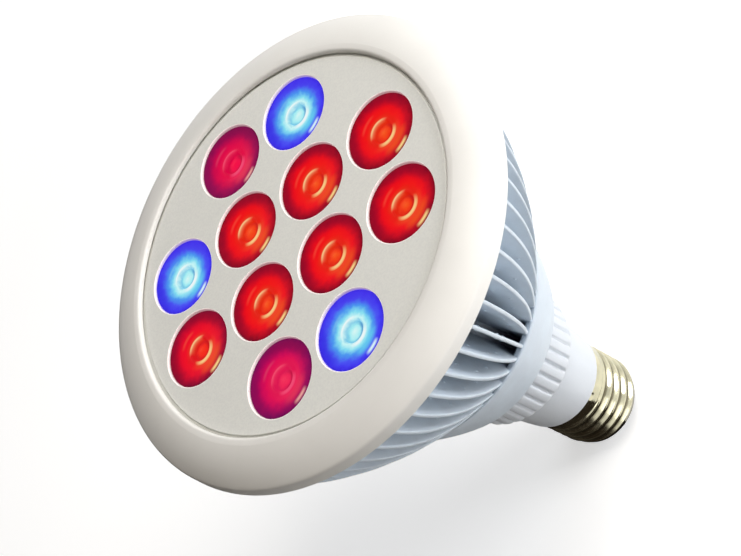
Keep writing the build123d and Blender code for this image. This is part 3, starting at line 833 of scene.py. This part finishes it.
class BULB_OT_heat_sink(bpy.types.Operator):
    """The casting: a collar, a core, a rim and sixty leaning fins with their pin marks"""

    bl_idname = "bulb.heat_sink"
    bl_label = "Heat sink"

    def execute(self, context):
        sizes = sizes_in_mm()
        fin = fin_with_pin_marks(sizes.fin_thickness, sizes.fin_lean)
        fins = copies_round(fin, sizes.fin_count, sizes.fin_phase)
        z_pad, z_rim = low(board_box, 2) - PAD_THICKNESS, low(plate_box, 2)
        z_floor = z_collar + COLLAR_FLOOR
        foot, top = (COLLAR_FOOT_RADIUS, z_collar), (COLLAR_TOP_RADIUS, z_collar_top)
        corners = [(BORE_RADIUS, z_collar, 0.3), (*foot, 0.7)]
        corners += bulged(foot, top, COLLAR_HOLLOW)
        corners += [(*top, 0.5), (COLLAR_TOP_RADIUS - COLLAR_WALL, z_collar_top, 0.5),
                    (COLLAR_FOOT_RADIUS - COLLAR_WALL, z_floor, 1.0), (CORE_RADIUS, z_floor, 1.0),
                    (CORE_RADIUS, z_dish - CORE_FLARE, 2.0), (CORE_RADIUS + CORE_FLARE, z_dish, 3.0),
                    (DISH_RADIUS, z_dish, 2.0), (rim_radius, z_dish + DISH_HEIGHT, 2.0),
                    (rim_radius, z_rim, 0), (rim_radius - RIM_WIDTH, z_rim, 0),
                    (rim_radius - RIM_WIDTH, z_pad, 0), (WIRE_HOLE_RADIUS, z_pad, 0),
                    (WIRE_HOLE_RADIUS, z_dish, 0), (BORE_RADIUS, z_dish, 0)]
        body = turned("casting", rounded(corners), steps=CASTING_SIDES)
        piece = join("heat_sink_casting", [body] + fins)
        settle(piece, powder_coat_white(context.scene.bulb_colours.casting), "white_casting", "heat_sink")
        return {"FINISHED"}


# The neck: a spigot in the shell, a seat for its skirt, a cone, the grip ring and the tube in the casting
SPIGOT_RADIUS = 11.6
NECK_WALL = 2.0
SKIRT_SEAT_RADIUS = 12.6
SKIRT_SEAT_DEPTH = 3.1
CONE_FOOT_RADIUS = 13.9
CONE_TOP_RADIUS = 15.2
CONE_HEIGHT = 19.5
CONE_HOLLOW = -0.35
TUBE_RADIUS = 17.7
# The grip ring starts narrower and swells over its first stretch, and a groove takes part of each rib
GRIP_RADIUS = 19.3
GRIP_SWELL = 1.4
GRIP_SWELL_HEIGHT = 2.2
GRIP_SWELL_POINTS = 5
GRIP_LEVELS = 14
RIB_POINTS = 12
RIB_MIDDLE = 0.4
RIB_CROWN = 0.25
GROOVE_PLACE = 0.9
GROOVE_HALF_WIDTH = 0.16
GROOVE_STEEPNESS = 1.4


class BULB_OT_neck(bpy.types.Operator):
    """The neck moulding with its smooth cone and its ribbed grip ring"""

    bl_idname = "bulb.neck"
    bl_label = "Neck"

    def execute(self, context):
        sizes = sizes_in_mm()
        z_spigot, z_cone, z_end = low(neck_box, 2), high(shell_box, 2), high(neck_box, 2)
        z_ring = z_cone + CONE_HEIGHT
        z_grip = z_ring + GRIP_SWELL_HEIGHT
        z_seat = z_cone - SKIRT_SEAT_DEPTH
        spigot_bore = SPIGOT_RADIUS - NECK_WALL
        corners = [(spigot_bore, z_spigot, 0), (SPIGOT_RADIUS, z_spigot, 0.3), (SPIGOT_RADIUS, z_seat, 0),
                   (SKIRT_SEAT_RADIUS, z_seat, 0), (SKIRT_SEAT_RADIUS, z_cone, 0),
                   (CONE_FOOT_RADIUS, z_cone, 0.4)]
        corners += bulged((CONE_FOOT_RADIUS, z_cone), (CONE_TOP_RADIUS, z_ring), CONE_HOLLOW)
        corners += [(CONE_TOP_RADIUS, z_ring, 0), (GRIP_RADIUS - GRIP_SWELL, z_ring, 0.3)]
        for k in range(1, GRIP_SWELL_POINTS + 1):
            turn = math.pi / 2 * k / GRIP_SWELL_POINTS
            corners.append((GRIP_RADIUS - GRIP_SWELL * (1 - math.sin(turn)),
                            z_ring + GRIP_SWELL_HEIGHT * (1 - math.cos(turn)), 0))
        for k in range(1, GRIP_LEVELS + 1):
            corners.append((GRIP_RADIUS, z_grip + (z_collar - z_grip) * k / GRIP_LEVELS, 0))
        corners += [(TUBE_RADIUS, z_collar, 0), (TUBE_RADIUS, z_end, 0), (TUBE_RADIUS - NECK_WALL, z_end, 0),
                    (TUBE_RADIUS - NECK_WALL, z_collar, 0), (CONE_TOP_RADIUS - NECK_WALL, z_ring, 0),
                    (spigot_bore, z_cone, 0)]
        steps = sizes.rib_count * RIB_POINTS
        piece = turned("neck_moulding", rounded(corners, 4), steps=steps, smooth_angle=45)

        def ribs(angle, z, reach):
            """Grooves and crowned ribs on the grip ring's outside only."""
            if reach < GRIP_RADIUS - GRIP_SWELL - 0.1 or z < z_ring + 0.3:
                return 0.0
            share = ((angle - sizes.rib_phase) / FULL_TURN * sizes.rib_count) % 1.0
            groove = max(0.0, 1 - abs(share - GROOVE_PLACE) / GROOVE_HALF_WIDTH)
            fade = min(1.0, (z - z_ring) / GRIP_SWELL_HEIGHT)
            crown = RIB_CROWN * (2 * abs(share - RIB_MIDDLE)) ** 2
            return -sizes.rib_depth * min(1.0, GROOVE_STEEPNESS * groove) * fade - crown

        reshape(piece, ribs)
        settle(piece, moulded_pbt_white(context.scene.bulb_colours.neck), "white_moulding", "neck_housing")
        return {"FINISHED"}


# The shell: a lip rolled in round the plug, as radii and heights over its end, the thread and a plain skirt
SHELL_WALL = 0.4
LIP_OUTSIDE = ((10.4, 0.0), (11.2, 0.15), (11.8, 0.6), (12.15, 1.1))
LIP_INSIDE = ((11.75, 1.3), (11.5, 0.9), (11.0, 0.5), (10.4, 0.4))
THREAD_START = 2.2
THREAD_FADE_IN = 1.0
THREAD_FADE_OUT = 1.2
SKIRT_HEIGHT = 3.9
SHELL_LEVELS = 120
SHELL_SIDES = 144
# The dents that hold the skirt on the neck
CRIMP_PHASE = math.radians(-50)
CRIMP_DROP = 1.3
CRIMP_RADIUS = 0.5
CRIMP_DEPTH = 0.35


class BULB_OT_screw_cap(bpy.types.Operator):
    """The rolled shell with its helical thread and its crimped skirt"""

    bl_idname = "bulb.screw_cap"
    bl_label = "Screw cap"

    def execute(self, context):
        sizes = sizes_in_mm()
        crest, z_low, z_high = high(shell_box, 0), low(shell_box, 2), high(shell_box, 2)
        half_depth = sizes.thread_depth / 2
        z_start, z_skirt = z_low + THREAD_START, z_high - SKIRT_HEIGHT
        steps = [k / SHELL_LEVELS for k in range(SHELL_LEVELS + 1)]
        wall = [(crest - half_depth, z_start + (z_high - z_start) * step) for step in steps]
        outer = [(r, z_low + rise) for r, rise in LIP_OUTSIDE] + wall
        inner = [(r - SHELL_WALL, z) for r, z in reversed(wall)]
        inner += [(r, z_low + rise) for r, rise in LIP_INSIDE]
        shell = turned("screw_shell_rolled", outer + inner, steps=SHELL_SIDES, smooth_angle=60)

        def thread(angle, z, reach):
            """The rolled wave, which fades in at the lip and out at the skirt, and the crimps."""
            if z < z_start - 0.01:
                return 0.0
            fade_in = min(1.0, max(0.0, (z - z_start) / THREAD_FADE_IN))
            fade_out = min(1.0, max(0.0, (z_skirt - z) / THREAD_FADE_OUT))
            fade_out = fade_out * fade_out * (3 - 2 * fade_out)
            wave = math.cos(angle - sizes.thread_phase - FULL_TURN * z / sizes.thread_pitch) * half_depth
            level = -half_depth / 2 * (1 - fade_in) + half_depth * (1 - fade_out)
            crimps = 0.0
            for k in range(sizes.crimp_count):
                place = CRIMP_PHASE + FULL_TURN * k / sizes.crimp_count
                across = ((angle - place + math.pi) % FULL_TURN - math.pi) * crest
                along = z - z_high + CRIMP_DROP
                crimps += math.exp(-(across ** 2 + along ** 2) / (2 * CRIMP_RADIUS ** 2))
            return wave * fade_in * fade_out + level - CRIMP_DEPTH * crimps

        reshape(shell, thread)
        finish = nickel_plate(context.scene.bulb_colours.nickel, crest, sizes.thread_depth)
        settle(shell, finish, "nickel_plate", "screw_shell")
        return {"FINISHED"}


# The finish of each inner part: its name, colour, roughness and metallic
PLAIN_PARTS = {
    "thermal_pad": ("silicone pad", "#8F949B", 0.8, 0.0),
    "led_board": ("solder-resist board", "#E8E8E4", 0.5, 0.0),
    "board_screws": ("zinc-plated steel", "#9A9CA0", 0.35, 1.0),
    "neck_screws": ("zinc-plated steel", "#9A9CA0", 0.35, 1.0),
    "driver_board": ("glass-epoxy board", "#1F5A33", 0.5, 0.0),
    "fuse": ("ceramic resistor body", "#3C4A5E", 0.5, 0.0),
    "film_capacitor": ("epoxy-filled box", "#B7962A", 0.5, 0.0),
    "rectifier": ("moulded epoxy", "#17171A", 0.5, 0.0),
    "choke": ("ferrite", "#2A2725", 0.6, 0.0),
    "bulk_capacitor": ("heat-shrink sleeve", "#16202E", 0.35, 0.0),
    "transformer": ("transformer tape", "#C2A02C", 0.45, 0.0),
    "driver_chip": ("moulded epoxy", "#17171A", 0.5, 0.0),
    "output_capacitor": ("heat-shrink sleeve", "#16202E", 0.35, 0.0),
    "contact_lead": ("wire insulation, red", "#8E1818", 0.45, 0.0),
    "shell_lead": ("wire insulation, black", "#141414", 0.45, 0.0),
    "led_lead_positive": ("wire insulation, red", "#8E1818", 0.45, 0.0),
    "led_lead_negative": ("wire insulation, black", "#141414", 0.45, 0.0),
}


def finish_part(name, material):
    """A CAD solid kept as it is, with its finish."""
    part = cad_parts[name]
    part.data.materials.clear()
    part.data.materials.append(material)


class BULB_OT_inside(bpy.types.Operator):
    """Finishes for the solids shown as they are: the contact, its plug and all that is inside"""

    bl_idname = "bulb.inside"
    bl_label = "Contact and inner parts"

    def execute(self, context):
        finishes = {finish: plain(*finish) for finish in dict.fromkeys(PLAIN_PARTS.values())}
        for name, finish in PLAIN_PARTS.items():
            finish_part(name, finishes[finish])
        emitter = plain("silicone emitter dome", "#E9DFA6", 0.3)
        for number, across, along, tone in LENS_GRID:
            finish_part(f"led_{number}", emitter)
        finish_part("end_contact", turned_brass())
        finish_part("cap_insulator", black_glass())
        return {"FINISHED"}


# Soft square lamps, each with its azimuth and elevation in degrees, its power in watts and its colour
LAMPS = (
    ("key", 0, 14, 4.7, "#F8FBFF"),
    ("overhead", 5, 58, 4.5, "#FFF9F1"),
    ("side", 60, 40, 1.8, "#F0F7FF"),
    ("fill", -55, 9, 1.2, "#FFFFFF"),
)
LAMP_AIM_HEIGHT = 100
LAMP_DISTANCE = 900
LAMP_SIZE = 450
AMBIENT = 0.07
WARM_BOUNCE = "#D8C8B6"
FLOOR_SIZE = 6000
FLOOR_DROP = 0.5
# How much the floor is lifted to white where it is seen, near the lamp and past the far radius
FLOOR_LIFT_NEAR, FLOOR_LIFT_FAR = 0.55, 1.0
LIFT_NEAR_RADIUS, LIFT_FAR_RADIUS = 300, 1100
# Brown cards that only reflections see, on the side away from the key lamp: one lies on the floor with
# its edge beside the cap and one stands behind it, so that the plating shows dark beside bright
CARD_COLOUR = "#2A2118"
CARD_AZIMUTH = -142
CARD_SIZE = 1400
CARD_GAP = 2
FLOOR_CARD_DROP = 0.3
BACK_CARD_DISTANCE, BACK_CARD_RISE, BACK_CARD_HEIGHT = 630, 280, 630
# The camera that was fitted to the photograph: its place, its axes and its focal length in pixels
CAMERA_PLACE = (206.8, -271.95, 438.1)
CAMERA_RIGHT = (0.7383, -0.2149, -0.6394)
CAMERA_UP = (0.5166, 0.7895, 0.3313)
CAMERA_FOCUS = 1900
PHOTO_WIDTH = 741
SENSOR_WIDTH = 36.0


def seen_or_mirrored(tree):
    """1 for rays from the camera, off a shiny surface or through a clear one, and 0 for soft light."""
    path = node(tree, "ShaderNodeLightPath")
    seen = node(tree, "ShaderNodeMath", {0: path.outputs["Is Camera Ray"], 1: path.outputs["Is Glossy Ray"]},
                operation="MAXIMUM")
    seen = node(tree, "ShaderNodeMath", {0: seen.outputs[0], 1: path.outputs["Is Transmission Ray"]},
                operation="MAXIMUM")
    return seen.outputs[0]


def light_the_world(scene, background):
    """White where it is seen or mirrored, and a dim warm bounce for soft light."""
    scene.world = bpy.data.worlds.new("studio")
    scene.world.use_nodes = True
    tree = scene.world.node_tree
    tree.nodes.clear()
    dim = node(tree, "ShaderNodeBackground", {"Color": linear(WARM_BOUNCE), "Strength": AMBIENT})
    white = node(tree, "ShaderNodeBackground", {"Color": linear(background), "Strength": 1.0})
    seen = seen_or_mirrored(tree)
    mix = node(tree, "ShaderNodeMixShader", {0: seen, 1: dim.outputs[0], 2: white.outputs[0]})
    node(tree, "ShaderNodeOutputWorld", {"Surface": mix.outputs[0]})


def pale_floor(background):
    """Matt paper under the lamp: it keeps the soft shadow near the lamp and turns white further off."""
    material, tree, shader = surface("pale floor", "#F2F2F2", Roughness=0.9, Specular_IOR_Level=0.0)
    place = node(tree, "ShaderNodeTexCoord").outputs["Object"]
    reach = node(tree, "ShaderNodeVectorMath", {0: place}, operation="LENGTH")
    lift = node(tree, "ShaderNodeMapRange", {
        "Value": reach.outputs["Value"], "From Min": LIFT_NEAR_RADIUS * MM, "From Max": LIFT_FAR_RADIUS * MM,
        "To Min": FLOOR_LIFT_NEAR, "To Max": FLOOR_LIFT_FAR})
    lift = node(tree, "ShaderNodeMath", {0: seen_or_mirrored(tree), 1: lift.outputs["Result"]},
                operation="MULTIPLY")
    shader.inputs["Emission Color"].default_value = linear(background)
    tree.links.new(lift.outputs[0], shader.inputs["Emission Strength"])
    return material


def mirrored_card(name, offset, height, upright):
    """A brown card that only reflections see, at a distance along the cards' azimuth and a height."""
    deselect()
    bpy.ops.mesh.primitive_plane_add(size=CARD_SIZE * MM)
    card = bpy.context.object
    card.name = name
    if upright:
        card.data.transform(Matrix.Rotation(math.radians(90), 4, "Y"))
        card.data.transform(Matrix.Diagonal((1, 1, BACK_CARD_HEIGHT / CARD_SIZE, 1)))
    facing = Matrix.Rotation(math.radians(CARD_AZIMUTH), 4, "Z")
    card.data.transform(facing @ Matrix.Translation(Vector((offset, 0, height)) * MM))
    card.data.materials.append(surface("brown card", CARD_COLOUR, Roughness=1.0)[0])
    card.visible_camera = card.visible_diffuse = card.visible_shadow = False


def soft_lamp(name, azimuth, elevation, power, colour):
    """A square lamp that looks at the middle of the bulb."""
    around, above = math.radians(azimuth), math.radians(elevation)
    level = math.cos(above)
    away = Vector((math.cos(around) * level, math.sin(around) * level, math.sin(above)))
    aim = Vector((0, 0, LAMP_AIM_HEIGHT * MM))
    deselect()
    bpy.ops.object.light_add(type="AREA", location=aim + away * LAMP_DISTANCE * MM)
    lamp = bpy.context.object
    lamp.name = name
    lamp.data.size = LAMP_SIZE * MM
    lamp.data.energy = power
    lamp.data.color = linear(colour)[:3]
    lamp.rotation_euler = (-away).to_track_quat("-Z", "Y").to_euler()


def camera_at_photo_view(scene):
    """The camera that was fitted to the photograph."""
    camera = bpy.data.cameras.new("camera")
    camera.sensor_width = SENSOR_WIDTH
    camera.lens = CAMERA_FOCUS / PHOTO_WIDTH * SENSOR_WIDTH
    view = bpy.data.objects.new("camera", camera)
    scene.collection.objects.link(view)
    right, up = Vector(CAMERA_RIGHT), Vector(CAMERA_UP)
    turn = Matrix((right, up, right.cross(up))).transposed().to_4x4()
    view.matrix_world = Matrix.Translation(Vector(CAMERA_PLACE) * MM) @ turn
    scene.camera = view


class BULB_OT_stage(bpy.types.Operator):
    """The pale floor, the soft lights and the camera at the photograph's view"""

    bl_idname = "bulb.stage"
    bl_label = "Stage"

    def execute(self, context):
        scene = context.scene
        background = scene.bulb_colours.background
        scene.view_settings.view_transform = "Standard"
        light_the_world(scene, background)
        deselect()
        bpy.ops.mesh.primitive_plane_add(size=FLOOR_SIZE * MM, location=(0, 0, -FLOOR_DROP * MM))
        floor = bpy.context.object
        floor.name = "floor"
        floor.data.materials.append(pale_floor(background))
        mirrored_card("floor card", CARD_SIZE / 2 + CARD_GAP, -FLOOR_CARD_DROP, upright=False)
        mirrored_card("back card", BACK_CARD_DISTANCE, BACK_CARD_RISE, upright=True)
        for lamp in LAMPS:
            soft_lamp(*lamp)
        camera_at_photo_view(scene)
        return {"FINISHED"}


class BULB_PT_panel(bpy.types.Panel):
    """The pieces of the bulb, their sizes and their colours"""

    bl_label = "Grow light"
    bl_idname = "BULB_PT_panel"
    bl_space_type = "VIEW_3D"
    bl_region_type = "UI"
    bl_category = "Grow light"

    def draw(self, context):
        layout = self.layout
        for group in (context.scene.bulb_sizes, context.scene.bulb_colours):
            for name in group.__annotations__:
                layout.prop(group, name)
        for operator in OPERATORS:
            layout.operator(operator.bl_idname)


OPERATORS = (BULB_OT_bezel, BULB_OT_plate, BULB_OT_lenses, BULB_OT_heat_sink, BULB_OT_neck, BULB_OT_screw_cap,
             BULB_OT_inside, BULB_OT_stage)
CLASSES = (BulbSizes, BulbColours) + OPERATORS + (BULB_PT_panel,)


def register():
    """Registers the classes and hangs the two groups on the scene."""
    for item in CLASSES:
        bpy.utils.register_class(item)
    bpy.types.Scene.bulb_sizes = bpy.props.PointerProperty(type=BulbSizes)
    bpy.types.Scene.bulb_colours = bpy.props.PointerProperty(type=BulbColours)


def unregister():
    """Takes the groups and the classes away again."""
    del bpy.types.Scene.bulb_colours
    del bpy.types.Scene.bulb_sizes
    for item in reversed(CLASSES):
        bpy.utils.unregister_class(item)


def main():
    """Builds every piece and the stage."""
    register()
    bpy.ops.bulb.bezel()
    bpy.ops.bulb.plate()
    bpy.ops.bulb.lenses()
    bpy.ops.bulb.heat_sink()
    bpy.ops.bulb.neck()
    bpy.ops.bulb.screw_cap()
    bpy.ops.bulb.inside()
    bpy.ops.bulb.stage()


if __name__ == "__main__":
    main()
